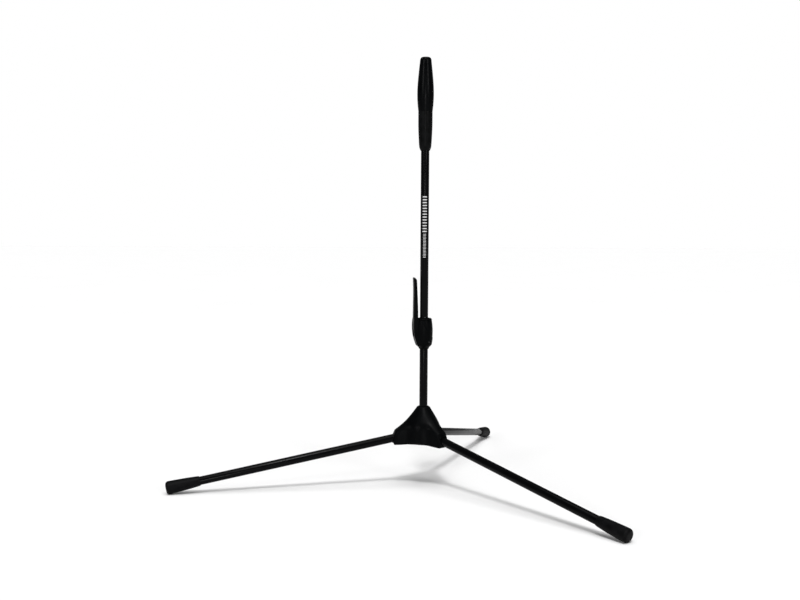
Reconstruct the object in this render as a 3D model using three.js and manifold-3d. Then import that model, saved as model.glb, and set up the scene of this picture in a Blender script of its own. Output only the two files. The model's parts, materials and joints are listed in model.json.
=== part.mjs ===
// Folding tripod stand for a trumpet, in millimetres, +Z up, standing on z = 0.
//
// The base is a moulded hub on three tube legs that hinge in its arms. A tube mast stands in the hub
// and carries a clutch with a cam lever. The upper mast slides and turns in the clutch. A tapered peg
// on top of it holds the bell of the trumpet.
// The clutch lever and the left leg point along -X, and the stand is symmetric about the XZ plane.

import * as THREE from 'three';
import { mergeVertices } from 'three/addons/utils/BufferGeometryUtils.js';
import Module from 'manifold-3d';

const wasm = await Module();
wasm.setup();

// ---------------------------------------------------------------- driving dimensions
const GAP = 0.3; // clearance between pieces that touch
const TUBE_R = 6.35; // outside radius of the mast tubes and leg tubes
const TUBE_BORE_R = 5.35; // inside radius of those tubes
const SLIDE_R = 5.0; // outside radius of the thinner tube that slides in the lower mast tube
const SLIDE_BORE_R = 4.0;
const PIN_R = 1.5; // small pins and rivets
const ROUND = 28; // sides of a tube
const SMALL = 16; // sides of a pin

const STAND_HEIGHT = 658; // floor to the tip of the peg
const FOOT_REACH = 391.5; // mast axis to the middle of each foot's end
const LEG_PITCH = THREE.MathUtils.degToRad(10.7); // slope of an open leg below the horizontal
const PIVOT_REACH = 20; // mast axis to each leg's hinge pin
const KNUCKLE_END = 8.7; // hinge pin to the knuckle's shoulder, where the leg tube begins
const FOOT_LENGTH = 50.8;
const FOOT_R = 10.0; // widest radius, near the floor end
const FOOT_ROUNDING = 4.5; // edge radius of the floor end
const FLOOR_FLAT = 0.35; // depth of the flat that each foot stands on

const HUB_TOP = 122.9;
const HUB_BOTTOM = 64.0; // lower edge of the arms
const HUB_ARCH = 4.1; // rise of the skirt's lower edge between two arms
const HUB_EDGE = 2; // height over which the hub's rims round off
const COLLAR_R = 9; // hub's radius at the top
const ARM_REACH = 48.9; // mast axis to the end of an arm
const ARM_HALF_WIDTH = 11.6;
const ARM_TOP = { z: 86, reach: 44.1 }; // corner where an arm's shoulder meets its end
const ARM_END_Z = 70; // where the end of an arm stands upright
const WAIST = { z: 100, halfWidth: 12.9, height: 31.5 }; // widest part of the arms' shoulders
const SKIRT_R = 29.2; // radius between two arms, at the lower edge
const SOCKET_FLOOR = 78; // where the mast tube stands in the hub
const LOWER_TUBE_TOP = 230;
const UPPER_TUBE_END = 262; // lower end of the upper tube, with the mast right down
const UPPER_TUBE_TOP = 561;
const SLIDE_TUBE_END = 95;
const SLIDE_TUBE_TOP = 330;

const CLUTCH_TOP = 260;
const CLUTCH_BOTTOM = 212.3;
const BARREL_TOP = 256.8; // where the clutch body ends and its cap begins
const LEVER_PIVOT = { x: -12.3, z: 242 };
const LEVER_TOP = 322.6;
const LEVER_HALF_WIDTH = 4.5;
const SLOT_HALF_WIDTH = 4.9; // half the slot between the ears that hold the lever
const EAR_HALF_WIDTH = 8.0;
const SHOE_HEIGHT = 8; // brake shoe, along the mast

const PEG_BOTTOM = 517;
const PEG_WAIST = 576; // joint between the peg's grip and its cone

// The three arms, by the direction that each leg points.
const ARMS = [
  { name: 'left', azimuth: Math.PI },
  { name: 'right', azimuth: -Math.PI / 3 },
  { name: 'rear', azimuth: Math.PI / 3 },
];

// The height of an open foot's end above the floor, from the roundness of its lower edge.
const FOOT_END_Z = (FOOT_R - FOOT_ROUNDING) * Math.cos(LEG_PITCH) + FOOT_ROUNDING
  - FOOT_ROUNDING * Math.sin(LEG_PITCH) - FLOOR_FLAT;
const PIVOT_Z = FOOT_END_Z + (FOOT_REACH - PIVOT_REACH) * Math.tan(LEG_PITCH);
const LEG_LENGTH = (FOOT_REACH - PIVOT_REACH) / Math.cos(LEG_PITCH); // hinge pin to the foot's end

// ---------------------------------------------------------------- solids
// A closed three.js geometry as a solid, with its faces turned outwards.
function solid(geometry) {
  geometry.deleteAttribute('normal');
  geometry.deleteAttribute('uv');
  const merged = mergeVertices(geometry, 1e-4);
  const corners = merged.index.array;
  const points = merged.attributes.position.array;
  const triangles = [];
  for (let i = 0; i < corners.length; i += 3) {
    const [a, b, c] = [corners[i], corners[i + 1], corners[i + 2]];
    if (a !== b && b !== c && c !== a) triangles.push(a, b, c);
  }
  if (signedVolume(points, triangles) < 0) triangles.reverse();
  return new wasm.Manifold(new wasm.Mesh({
    numProp: 3,
    vertProperties: Float32Array.from(points),
    triVerts: Uint32Array.from(triangles),
  }));
}

function signedVolume(points, triangles) {
  const corner = (i) => new THREE.Vector3().fromArray(points, 3 * triangles[i]);
  let volume = 0;
  for (let i = 0; i < triangles.length; i += 3) {
    volume += corner(i).dot(corner(i + 1).cross(corner(i + 2)));
  }
  return volume;
}

// A turned shape about the Z axis, from an outline of [radius, height] points.
// The outline starts and ends on the axis, or closes on itself.
function turned(outline, sides = ROUND) {
  const points = outline.map(([radius, height]) => new THREE.Vector2(radius, height));
  return solid(new THREE.LatheGeometry(points, sides).rotateX(Math.PI / 2));
}

function rod(radius, bottom, top, sides = SMALL) {
  return turned([[0, bottom], [radius, bottom], [radius, top], [0, top]], sides);
}

function ring(bore, radius, bottom, top, sides = ROUND) {
  return turned([[bore, bottom], [radius, bottom], [radius, top], [bore, top], [bore, bottom]], sides);
}

function block(low, high) {
  const size = high.map((value, i) => value - low[i]);
  const middle = high.map((value, i) => (value + low[i]) / 2);
  return solid(new THREE.BoxGeometry(...size).translate(...middle));
}

// A flat plate of even thickness between y = low and y = high, from an outline of [x, z] points.
function plate(outline, low, high) {
  const shape = new THREE.Shape(outline.map(([x, z]) => new THREE.Vector2(x, z)));
  const geometry = new THREE.ExtrudeGeometry(shape, { depth: high - low, bevelEnabled: false });
  return solid(geometry.rotateX(Math.PI / 2).translate(0, high, 0));
}

// A rod lying along the Y axis at [x, z].
function crossRod(radius, x, z, low, high, sides = SMALL) {
  return rod(radius, low, high, sides).rotate([-90, 0, 0]).translate([x, 0, z]);
}

// A rod lying along the X axis, at height z.
function lengthRod(radius, low, high, z = 0, sides = SMALL) {
  return rod(radius, low, high, sides).rotate([0, 90, 0]).translate([0, 0, z]);
}

const degrees = THREE.MathUtils.radToDeg;

// ---------------------------------------------------------------- materials
function material(color, roughness, metalness = 0) {
  return new THREE.MeshStandardMaterial({ color, roughness, metalness });
}

const coatedSteel = () => material(0x0b0b0c, 0.38, 0.3);
const blackNylon = () => material(0x0d0d0e, 0.55);
const blackRubber = () => material(0x101011, 0.75);
const zincSteel = () => material(0xa8abb0, 0.35, 0.9);
const natural = () => material(0xd9d4c6, 0.5); // uncoloured nylon

function piece(name, body, look) {
  const { vertProperties, triVerts } = body.getMesh();
  const geometry = new THREE.BufferGeometry();
  geometry.setAttribute('position', new THREE.BufferAttribute(vertProperties, 3));
  geometry.setIndex(new THREE.BufferAttribute(triVerts, 1));
  geometry.computeVertexNormals();
  const mesh = new THREE.Mesh(geometry, look);
  mesh.name = name;
  return mesh;
}

// ---------------------------------------------------------------- hub
// Reach of an arm: a hollow curve down from the collar to the arm's top corner, then a rounded end.
function armReach(height) {
  if (height > ARM_TOP.z) {
    const down = (HUB_TOP - height) / (HUB_TOP - ARM_TOP.z);
    return COLLAR_R + (ARM_TOP.reach - COLLAR_R) * (down + down ** 2) / 2;
  }
  const up = Math.max(0, height - ARM_END_Z) / (ARM_TOP.z - ARM_END_Z);
  return ARM_REACH - (ARM_REACH - ARM_TOP.reach) * up ** 2;
}

function armHalfWidth(height) {
  if (height <= ARM_TOP.z) return ARM_HALF_WIDTH;
  return WAIST.halfWidth * Math.sqrt(1 - ((height - WAIST.z) / WAIST.height) ** 2);
}

// Radius half-way between two arms: a steep flank that runs softly into a nearly upright skirt.
function webRadius(height) {
  const flank = COLLAR_R + 0.2 + 0.6 * (HUB_TOP - height);
  const skirt = SKIRT_R - 0.1 * (height - HUB_BOTTOM);
  return (flank ** -16 + skirt ** -16) ** (-1 / 16);
}

// Squareness of an arm's end, where 2 is an ellipse and more is squarer.
function armSquareness(height) {
  const down = THREE.MathUtils.clamp((105 - height) / 19, 0, 1);
  return 2 + 2.5 * down ** 2;
}

const HUB_SIDES = 48;
const HUB_LEVELS = 14;
const WEB_BLEND = 6; // exponent that blends arm and skirt: more is a tighter inner corner

// The hub's radius at a height, in a direction measured from the nearest arm.
function hubRadius(height, fromArm) {
  const squareness = armSquareness(height);
  const armRadius = (angle) => (
    (Math.abs(Math.cos(angle)) / armReach(height)) ** squareness
    + (Math.abs(Math.sin(angle)) / armHalfWidth(height)) ** squareness
  ) ** (-1 / squareness);
  const skirt = webRadius(height) ** WEB_BLEND - armRadius(Math.PI / 3) ** WEB_BLEND;
  return (armRadius(fromArm) ** WEB_BLEND + skirt) ** (1 / WEB_BLEND);
}

// How far the hub's rims round in, at a height above the lower edge.
function rimInset(height, edge) {
  const upper = Math.max(0, height - (HUB_TOP - HUB_EDGE)) / HUB_EDGE;
  const lower = Math.max(0, edge + HUB_EDGE - height) / HUB_EDGE;
  return 1.2 * (upper ** 2 + lower ** 2);
}

// A closed shape from rings of points that all have the same number of points.
function lofted(rings) {
  const sides = rings[0].length;
  const middle = (points) => points.reduce((sum, p) => sum.add(p), new THREE.Vector3())
    .divideScalar(points.length);
  const points = [...rings.flat(), middle(rings[0]), middle(rings.at(-1))];
  const bottomCentre = points.length - 2;
  const lastRing = (rings.length - 1) * sides;
  const index = [];
  for (let k = 0; k < sides; k += 1) {
    const next = (k + 1) % sides;
    for (let level = 0; level < lastRing; level += sides) {
      index.push(level + k, level + next, level + sides + next);
      index.push(level + k, level + sides + next, level + sides + k);
    }
    index.push(bottomCentre, next, k);
    index.push(bottomCentre + 1, lastRing + k, lastRing + next);
  }
  const geometry = new THREE.BufferGeometry().setFromPoints(points);
  geometry.setIndex(index);
  return solid(geometry);
}

// The hub's outside, pulled in by inset, between its lower edge and top.
function hubShape(inset, top) {
  const rings = [];
  for (let level = 0; level <= HUB_LEVELS; level += 1) {
    const share = (1 - Math.cos((Math.PI * level) / HUB_LEVELS)) / 2; // closer levels near the rims
    const points = [];
    for (let k = 0; k < HUB_SIDES; k += 1) {
      const angle = (2 * Math.PI * k) / HUB_SIDES;
      const fromArm = Math.abs((angle % (2 * Math.PI / 3)) - Math.PI / 3);
      const edge = HUB_BOTTOM + HUB_ARCH * Math.sin(1.5 * fromArm) ** 2;
      const height = edge + (top - edge) * share;
      const radius = hubRadius(height, fromArm) - rimInset(height, edge) - inset;
      const drop = level === 0 ? inset : 0; // an inset shape runs out through the lower edge
      points.push(new THREE.Vector3(radius * Math.cos(angle), radius * Math.sin(angle), height - drop));
    }
    rings.push(points);
  }
  return lofted(rings);
}

const CHANNEL_HALF_WIDTH = TUBE_R + 0.35;
const CHEEK = 3.8; // wall of an arm beside its leg
const POST_R = 10.8; // socket post in the middle of the hub

// The room that a leg needs in its arm: round over the open leg, and open below so that it folds down.
function legChannel(azimuth) {
  const open = 70; // past the arm's end
  const inner = -(TUBE_R + GAP);
  const tilted = lengthRod(CHANNEL_HALF_WIDTH, inner, open, 0, ROUND)
    .add(block([inner, -CHANNEL_HALF_WIDTH, -60], [open, CHANNEL_HALF_WIDTH, 0]))
    .add(block([inner, -CHANNEL_HALF_WIDTH, 0], [KNUCKLE_END, CHANNEL_HALF_WIDTH, CHANNEL_HALF_WIDTH]))
    .rotate([0, degrees(LEG_PITCH), 0]).translate([PIVOT_REACH, 0, PIVOT_Z]);
  const upright = block(
    [PIVOT_REACH + inner, -CHANNEL_HALF_WIDTH, 0],
    [open, CHANNEL_HALF_WIDTH, PIVOT_Z],
  );
  return tilted.add(upright).rotate([0, 0, degrees(azimuth)]);
}

function hubBody() {
  const cheekOutside = CHANNEL_HALF_WIDTH + CHEEK;
  const armBlock = (azimuth) => block([0, -cheekOutside, 0], [60, cheekOutside, 130])
    .rotate([0, 0, degrees(azimuth)]);
  let pockets = hubShape(3.2, HUB_TOP).intersect(block([-60, -60, 0], [60, 60, 90]));
  pockets = pockets.subtract(rod(POST_R, 0, HUB_TOP, ROUND));
  for (const arm of ARMS) pockets = pockets.subtract(armBlock(arm.azimuth));
  let body = hubShape(0, HUB_TOP).subtract(pockets);
  for (const arm of ARMS) {
    body = body.subtract(legChannel(arm.azimuth));
    const pinHole = crossRod(2.5 + GAP, PIVOT_REACH, PIVOT_Z, -10.6, 10.6);
    body = body.subtract(pinHole.rotate([0, 0, degrees(arm.azimuth)]));
  }
  body = body.subtract(rod(TUBE_R + GAP, SOCKET_FLOOR, HUB_TOP + 5, ROUND));
  body = body.subtract(rod(3.4, 50, SOCKET_FLOOR + 1));
  return body.subtract(rod(8, 50, SOCKET_FLOOR - 5, ROUND)); // recess for the mast screw's head
}

function mastFixing() {
  const insert = turned([
    [2.8, 79], [TUBE_BORE_R - GAP, 79], [TUBE_BORE_R - GAP, 91], [2.8, 91], [2.8, 79],
  ]);
  const screw = turned([
    [0, 68], [1.6, 68], [1.6, 70], [5.2, 70], [5.2, 71.4], [4.6, 71.8], [2.5, 71.8], [2.5, 89], [0, 89],
  ], SMALL);
  return [
    piece('lower_tube_insert', insert, zincSteel()),
    piece('mast_screw', screw, zincSteel()),
    piece('mast_washer', ring(2.9, 7.2, 72.1, SOCKET_FLOOR - 5.3, SMALL), zincSteel()),
  ];
}

// ---------------------------------------------------------------- legs
// A leg lies along +X from its hinge pin, and a group turns it down to its slope.
const FOOT_START = LEG_LENGTH - FOOT_LENGTH;

// A block under the leg tube that fills the arm's slot while the leg is open.
const SADDLE = { start: 15.5, end: 28.5, halfWidth: 5.9, depth: 9.3, rivet: 20 };

function legPieces(name) {
  const tube = ring(TUBE_BORE_R, TUBE_R, KNUCKLE_END + GAP, LEG_LENGTH - 9).rotate([0, 90, 0]);
  const rivetHole = rod(PIN_R + GAP, -SADDLE.depth - 1, 0).translate([SADDLE.rivet, 0, 0]);

  const eyeWidth = 5.45;
  const eye = crossRod(TUBE_R, 0, 0, -eyeWidth, eyeWidth, ROUND);
  const neck = block([0, -eyeWidth, -TUBE_R], [KNUCKLE_END, eyeWidth, TUBE_R])
    .intersect(lengthRod(TUBE_R, -1, KNUCKLE_END, 0, ROUND));
  const spigot = lengthRod(TUBE_BORE_R - GAP, KNUCKLE_END - 1, 31, 0, ROUND);
  const knuckle = eye.add(neck).add(spigot)
    .subtract(crossRod(2.5 + GAP, 0, 0, -7, 7))
    .subtract(rivetHole);

  const saddle = block([SADDLE.start, -SADDLE.halfWidth, -SADDLE.depth], [SADDLE.end, SADDLE.halfWidth, -5])
    .subtract(lengthRod(TUBE_R + GAP, SADDLE.start - 1, SADDLE.end + 1, 0, ROUND))
    .subtract(rivetHole);
  const rivet = rod(PIN_R, -SADDLE.depth, -1).translate([SADDLE.rivet, 0, 0]);

  const footEnd = LEG_LENGTH - FOOT_START;
  const bore = TUBE_R + GAP;
  const edge = [0, 30, 60, 90].map((degree) => {
    const angle = THREE.MathUtils.degToRad(degree);
    return [
      FOOT_R - FOOT_ROUNDING * (1 - Math.cos(angle)),
      footEnd - FOOT_ROUNDING * (1 - Math.sin(angle)),
    ];
  });
  const foot = turned([
    [bore, 0], [7.35, 0], [8.6, 16], [9.75, 40], ...edge,
    [0, footEnd], [0, footEnd - 8.5], [bore, footEnd - 8.5], [bore, 0],
  ]).rotate([0, 90, 0]).translate([FOOT_START, 0, 0]);
  const floor = block([-500, -50, -40], [500, 50, 0])
    .translate([-PIVOT_REACH, 0, -PIVOT_Z]).rotate([0, -degrees(LEG_PITCH), 0]);

  return [
    piece(`${name}_leg_tube`, tube.subtract(rivetHole), coatedSteel()),
    piece(`${name}_leg_knuckle`, knuckle, blackNylon()),
    piece(`${name}_leg_saddle`, saddle, blackNylon()),
    piece(`${name}_knuckle_rivet`, rivet, zincSteel()),
    piece(`${name}_foot`, foot.subtract(floor), blackRubber()),
  ];
}

function hingePieces(name) {
  const pin = crossRod(2.5, 0, 0, -10.3, 10.3);
  const washer = (side) => ring(2.9, 6, 5.75, 6.4, SMALL).rotate([-90 * side, 0, 0]);
  return [
    piece(`${name}_hinge_pin`, pin, zincSteel()),
    piece(`${name}_hinge_washer_1`, washer(1), natural()),
    piece(`${name}_hinge_washer_2`, washer(-1), natural()),
  ];
}

function legGroup({ name, azimuth }) {
  const arm = new THREE.Group();
  arm.rotation.z = azimuth;
  const hinge = new THREE.Group();
  hinge.position.set(PIVOT_REACH, 0, PIVOT_Z);
  const leg = new THREE.Group();
  leg.rotation.y = LEG_PITCH;
  leg.add(...legPieces(name));
  hinge.add(leg, ...hingePieces(name));
  arm.add(hinge);
  return arm;
}

// ---------------------------------------------------------------- clutch
function leverSlot() {
  return plate([
    [-30, 232], [-9, 232], [-7.2, 236.5], [-7.2, 247.5], [-9.6, 251], [-9.6, 270], [-30, 270],
  ], -SLOT_HALF_WIDTH, SLOT_HALF_WIDTH);
}

function leverHinge(radius, halfLength) {
  return crossRod(radius, LEVER_PIVOT.x, LEVER_PIVOT.z, -halfLength, halfLength);
}

const SET_SCREW = { azimuth: -60, z: 223.5 };
const BELLY = { radius: 14.25, z: 239, curve: 105 }; // the barrel's widest place, and the arc that bulges it

function bellyRadius(z) {
  return BELLY.radius - (z - BELLY.z) ** 2 / (2 * BELLY.curve);
}

function clutchBody() {
  const belly = [221, 225, 230, 235, 240, 246, 252, BARREL_TOP].map((z) => [bellyRadius(z), z]);
  const barrel = turned([
    [0, CLUTCH_BOTTOM], [7.4, CLUTCH_BOTTOM], [8.2, 214.3], [10.9, 217.1], [12.2, 219], ...belly,
    [0, BARREL_TOP],
  ], 40);
  const ears = plate([
    [-9.5, 216.5], [-11.3, 217.6], [-14.1, 225], [-16.5, 234], [-17.4, 243], [-17.5, 251], [-16.6, 260],
    [-14.4, 262.4], [-11.6, 262.4], [-9.9, 260.4], [-9.5, 256],
  ], -EAR_HALF_WIDTH, EAR_HALF_WIDTH);
  const shoeWindow = block(
    [-9, -4, LEVER_PIVOT.z - SHOE_HEIGHT / 2 - 0.4],
    [0, 4, LEVER_PIVOT.z + SHOE_HEIGHT / 2 + 0.4],
  );
  return barrel.add(ears)
    .subtract(leverSlot())
    .subtract(shoeWindow)
    .subtract(leverHinge(PIN_R + GAP, 6.6))
    .subtract(rod(TUBE_R + GAP, CLUTCH_BOTTOM - 1, LOWER_TUBE_TOP + 0.5, ROUND))
    .subtract(rod(SLIDE_R + 0.4, LOWER_TUBE_TOP, BARREL_TOP + 1, ROUND))
    .subtract(rod(7.2, 248.8, BARREL_TOP + 1, ROUND)) // seat of the liner
    .subtract(rod(8.4, 254.8, BARREL_TOP + 1, ROUND)) // seat of the liner's flange
    .subtract(lengthRod(2.3, 5, 20, SET_SCREW.z).rotate([0, 0, SET_SCREW.azimuth]));
}

function clutchCap() {
  const cap = turned([
    [7.1, 257.1], [12.6, 257.1], [11.9, 258.9], [10.4, CLUTCH_TOP], [7.1, CLUTCH_TOP], [7.1, 257.1],
  ], 40);
  return cap.subtract(block([-20, -EAR_HALF_WIDTH - GAP, 250], [-9.2, EAR_HALF_WIDTH + GAP, 270]));
}

// A sleeve that lines the clutch round the sliding tube, with a flange under the cap.
function clutchLiner() {
  const bore = SLIDE_R + GAP;
  return turned([
    [bore, 249.2], [6.8, 249.2], [6.8, 255.2], [8, 255.2], [8, 256.7], [6.7, 256.7], [6.7, 261.5],
    [bore, 261.5], [bore, 249.2],
  ]);
}

// The handle with its eccentric drum, which presses the brake shoe while the handle is up.
function camLever() {
  const drum = crossRod(3.8, LEVER_PIVOT.x + 0.7, LEVER_PIVOT.z, -LEVER_HALF_WIDTH, LEVER_HALF_WIDTH, ROUND);
  const blade = plate([
    [-15.9, 239.6], [-17, 250], [-16.6, 300], [-17.2, 321.6], [-16.9, LEVER_TOP], [-15.5, LEVER_TOP],
    [-12.6, 319.4], [-11.9, 315], [-10.2, 277], [-9.9, 262], [-9.9, 251], [-9.6, 245], [-12, 240],
  ], -LEVER_HALF_WIDTH, LEVER_HALF_WIDTH);
  return drum.add(blade).subtract(leverHinge(PIN_R + GAP, 10));
}

function brakePieces() {
  const low = LEVER_PIVOT.z - SHOE_HEIGHT / 2;
  const high = LEVER_PIVOT.z + SHOE_HEIGHT / 2;
  const pad = block([-6.2, -3.6, low], [-3, 3.6, high])
    .subtract(rod(SLIDE_R + GAP, low - 1, high + 1, ROUND));
  return [
    piece('brake_shoe', block([-7.5, -3.6, low], [-6.5, 3.6, high]), zincSteel()),
    piece('brake_pad', pad, blackRubber()),
  ];
}

function clutchPieces() {
  const screw = lengthRod(2, TUBE_R + GAP, 12.4, SET_SCREW.z)
    .subtract(lengthRod(1.1, 9.6, 20, SET_SCREW.z, 6))
    .rotate([0, 0, SET_SCREW.azimuth]);
  return [
    piece('clutch_body', clutchBody(), blackNylon()),
    piece('clutch_cap', clutchCap(), blackNylon()),
    piece('clutch_liner', clutchLiner(), blackNylon()),
    piece('clutch_set_screw', screw, zincSteel()),
    piece('lever_pin', leverHinge(PIN_R, 6.3), zincSteel()),
    piece('cam_lever', camLever(), blackNylon()),
    ...brakePieces(),
  ];
}

// ---------------------------------------------------------------- mast
const RIVET_Z = 300; // joint between the upper tube and the sliding tube

function rivetAt(radius, inner, outer, z) {
  return crossRod(radius, 0, z, inner, outer);
}

function mastPieces() {
  const lower = ring(TUBE_BORE_R, TUBE_R, SOCKET_FLOOR + GAP, LOWER_TUBE_TOP);
  const upper = ring(TUBE_BORE_R, TUBE_R, UPPER_TUBE_END, UPPER_TUBE_TOP);
  const slide = ring(SLIDE_BORE_R, SLIDE_R, SLIDE_TUBE_END, SLIDE_TUBE_TOP);
  const hole = rivetAt(PIN_R + GAP, 0, TUBE_R + 1, RIVET_Z);
  const plug = turned([
    [0, 92], [SLIDE_R, 92], [SLIDE_R, SLIDE_TUBE_END - GAP], [SLIDE_BORE_R - GAP, SLIDE_TUBE_END - GAP],
    [SLIDE_BORE_R - GAP, 107], [0, 107],
  ]);
  return [
    piece('lower_tube', lower, coatedSteel()),
    piece('upper_tube', upper.subtract(hole).subtract(pegPinHole()), coatedSteel()),
    piece('slide_tube', slide.subtract(hole), zincSteel()),
    piece('slide_tube_plug', plug, natural()),
    piece('joint_rivet', rivetAt(PIN_R, 3, TUBE_R, RIVET_Z), coatedSteel()),
  ];
}

// ---------------------------------------------------------------- peg
const PEG_PIN_Z = 545;
const PEG_STEM_R = 4.6;
const PEG_STEM_TOP = 638;

function pegPinHole() {
  return crossRod(PIN_R + GAP, 0, PEG_PIN_Z, -TUBE_R - 1, TUBE_R + 1);
}

function pegPieces() {
  const bore = TUBE_R + GAP;
  const grip = turned([
    [bore, PEG_BOTTOM], [7.3, PEG_BOTTOM], [9.2, 523], [10, 534], [10.8, 553], [10.9, PEG_WAIST - GAP],
    [bore, PEG_WAIST - GAP], [bore, PEG_BOTTOM],
  ]);
  const stemBore = PEG_STEM_R + GAP;
  const cone = turned([
    [bore, PEG_WAIST], [10.9, PEG_WAIST], [12.1, 588], [12.65, 600], [12.4, 613], [11.2, 629], [8.8, 652.5],
    [7.6, 656.2], [5.4, STAND_HEIGHT], [0, STAND_HEIGHT],
    [0, PEG_STEM_TOP + GAP], [stemBore, PEG_STEM_TOP + GAP], [stemBore, 580], [bore, 580], [bore, PEG_WAIST],
  ]);
  const core = turned([
    [0, 531], [TUBE_BORE_R - GAP, 531], [TUBE_BORE_R - GAP, UPPER_TUBE_TOP + GAP],
    [TUBE_R, UPPER_TUBE_TOP + GAP], [TUBE_R, 579.6], [PEG_STEM_R, 579.6], [PEG_STEM_R, PEG_STEM_TOP],
    [0, PEG_STEM_TOP],
  ]);
  return [
    piece('peg_grip', grip, blackRubber()),
    piece('peg_cone', cone, blackNylon()),
    piece('peg_core', core.subtract(pegPinHole()), blackNylon()),
    piece('peg_core_pin', crossRod(PIN_R, 0, PEG_PIN_Z, -TUBE_R, TUBE_R), zincSteel()),
  ];
}

// ---------------------------------------------------------------- assembly
const stand = new THREE.Group();
stand.name = 'trumpet_stand';
stand.add(piece('hub_body', hubBody(), blackNylon()));
stand.add(...mastFixing(), ...mastPieces(), ...clutchPieces(), ...pegPieces());
stand.add(...ARMS.map(legGroup));

// The origin is the middle of the footprint, on the floor.
stand.updateMatrixWorld(true);
const footprint = new THREE.Box3().setFromObject(stand, true);
stand.position.x = -(footprint.min.x + footprint.max.x) / 2;

export default stand;
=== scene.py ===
"""Looks of the trumpet stand, built round its CAD frame.
Lengths are in millimetres and MM turns them into metres."""

import json
import math

import bmesh
import bpy
from mathutils import Matrix, Vector


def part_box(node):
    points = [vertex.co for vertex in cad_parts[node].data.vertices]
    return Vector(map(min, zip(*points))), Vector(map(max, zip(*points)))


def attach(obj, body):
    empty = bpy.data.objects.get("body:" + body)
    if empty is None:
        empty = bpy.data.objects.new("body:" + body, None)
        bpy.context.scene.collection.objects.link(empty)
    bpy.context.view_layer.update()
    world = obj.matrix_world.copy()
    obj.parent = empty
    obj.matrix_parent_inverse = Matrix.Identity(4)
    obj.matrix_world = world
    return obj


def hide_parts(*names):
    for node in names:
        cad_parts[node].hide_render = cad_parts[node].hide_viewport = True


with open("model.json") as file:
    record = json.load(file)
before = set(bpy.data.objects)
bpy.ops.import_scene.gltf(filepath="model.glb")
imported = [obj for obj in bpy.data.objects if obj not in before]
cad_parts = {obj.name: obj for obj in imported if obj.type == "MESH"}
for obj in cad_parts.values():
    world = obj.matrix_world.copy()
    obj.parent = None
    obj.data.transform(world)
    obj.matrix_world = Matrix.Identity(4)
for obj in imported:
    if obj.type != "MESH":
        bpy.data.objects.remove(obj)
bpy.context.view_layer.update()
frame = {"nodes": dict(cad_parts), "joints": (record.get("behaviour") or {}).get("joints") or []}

MM = 0.001  # metres
FINEST = 128  # sides of a turned piece with a curved outline
FINE = 96  # sides of a turned piece that shows
SMALL = 40  # sides of a pin or screw

# ------------------------------------------------------------------ places, from the frame
JOINTS = {joint["name"]: joint for joint in frame["joints"]}
SIDES = ("left", "right", "rear")


def node_middle(name):
    low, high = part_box(name)
    return (low + high) / 2


MAST = Matrix.Translation((node_middle("upper_tube").x, 0, 0))


def leg_frame(side):
    """The leg's own frame: +X from its hinge pin along the open leg."""
    joint = JOINTS[f"{side}_leg_fold"]
    hinge_axis = Vector(joint["axis"])
    azimuth = math.atan2(-hinge_axis.x, hinge_axis.y)
    pitch = math.radians(90 - joint["range_deg"][1])
    pivot = Matrix.Translation(joint["pos_m"])
    return pivot @ Matrix.Rotation(azimuth, 4, "Z") @ Matrix.Rotation(pitch, 4, "Y")


LEGS = {side: leg_frame(side) for side in SIDES}
ALONG_X = Matrix.Rotation(math.pi / 2, 4, "Y")  # turns a piece's own Z axis to X
ALONG_Y = Matrix.Rotation(-math.pi / 2, 4, "X")  # turns a piece's own Z axis to Y


# ------------------------------------------------------------------ mesh tools
def rounded(outline, steps=5):
    """An open outline of (x, y) or (x, y, radius) corners, with an arc in each corner that has a radius."""
    points = []
    for i, corner in enumerate(outline):
        here = Vector(corner[:2])
        radius = corner[2] if len(corner) > 2 else 0
        if not radius or i in (0, len(outline) - 1):
            points.append(here)
            continue
        back = Vector(outline[i - 1][:2]) - here
        ahead = Vector(outline[i + 1][:2]) - here
        points += arc_in_corner(here, back, ahead, radius, steps)
    return points


def arc_in_corner(corner, back, ahead, radius, steps):
    """Points of an arc that joins two straight edges, in place of their corner."""
    half = back.angle(ahead) / 2
    reach = min(radius / math.tan(half), 0.49 * back.length, 0.49 * ahead.length)
    radius = reach * math.tan(half)
    centre = corner + (back.normalized() + ahead.normalized()).normalized() * (radius / math.sin(half))
    start = corner + back.normalized() * reach - centre
    end = corner + ahead.normalized() * reach - centre
    turn = start.angle_signed(end)
    return [centre + Matrix.Rotation(-turn * k / steps, 2) @ start for k in range(steps + 1)]


def smooth_curve(points, steps=8):
    """Points of a smooth curve through the given (x, y) points."""
    knots = [Vector(p) for p in points]
    knots = [2 * knots[0] - knots[1], *knots, 2 * knots[-1] - knots[-2]]
    curve = []
    for a, b, c, d in zip(knots, knots[1:], knots[2:], knots[3:]):
        for k in range(steps):
            t = k / steps
            curve.append(0.5 * (2 * b + (c - a) * t + (2 * a - 5 * b + 4 * c - d) * t**2
                                + (3 * b - a - 3 * c + d) * t**3))
    return [*curve, knots[-2]]


def new_object(name, vertices, faces, place=Matrix.Identity(4), sharp=40):
    """A mesh object from points in millimetres in the frame called place.
    Edges that turn by more degrees than sharp stay hard."""
    mesh = bpy.data.meshes.new(name)
    mesh.from_pydata([place @ (Vector(v) * MM) for v in vertices], [], faces)
    mesh.validate()
    obj = bpy.data.objects.new(name, mesh)
    bpy.context.scene.collection.objects.link(obj)
    face_out(mesh)
    mesh.shade_smooth()
    mesh.set_sharp_from_angle(angle=math.radians(sharp))
    return obj


def face_out(mesh):
    """Turns a closed mesh's faces outwards."""
    work = bmesh.new()
    work.from_mesh(mesh)
    bmesh.ops.recalc_face_normals(work, faces=work.faces)
    work.to_mesh(mesh)
    work.free()


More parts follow.
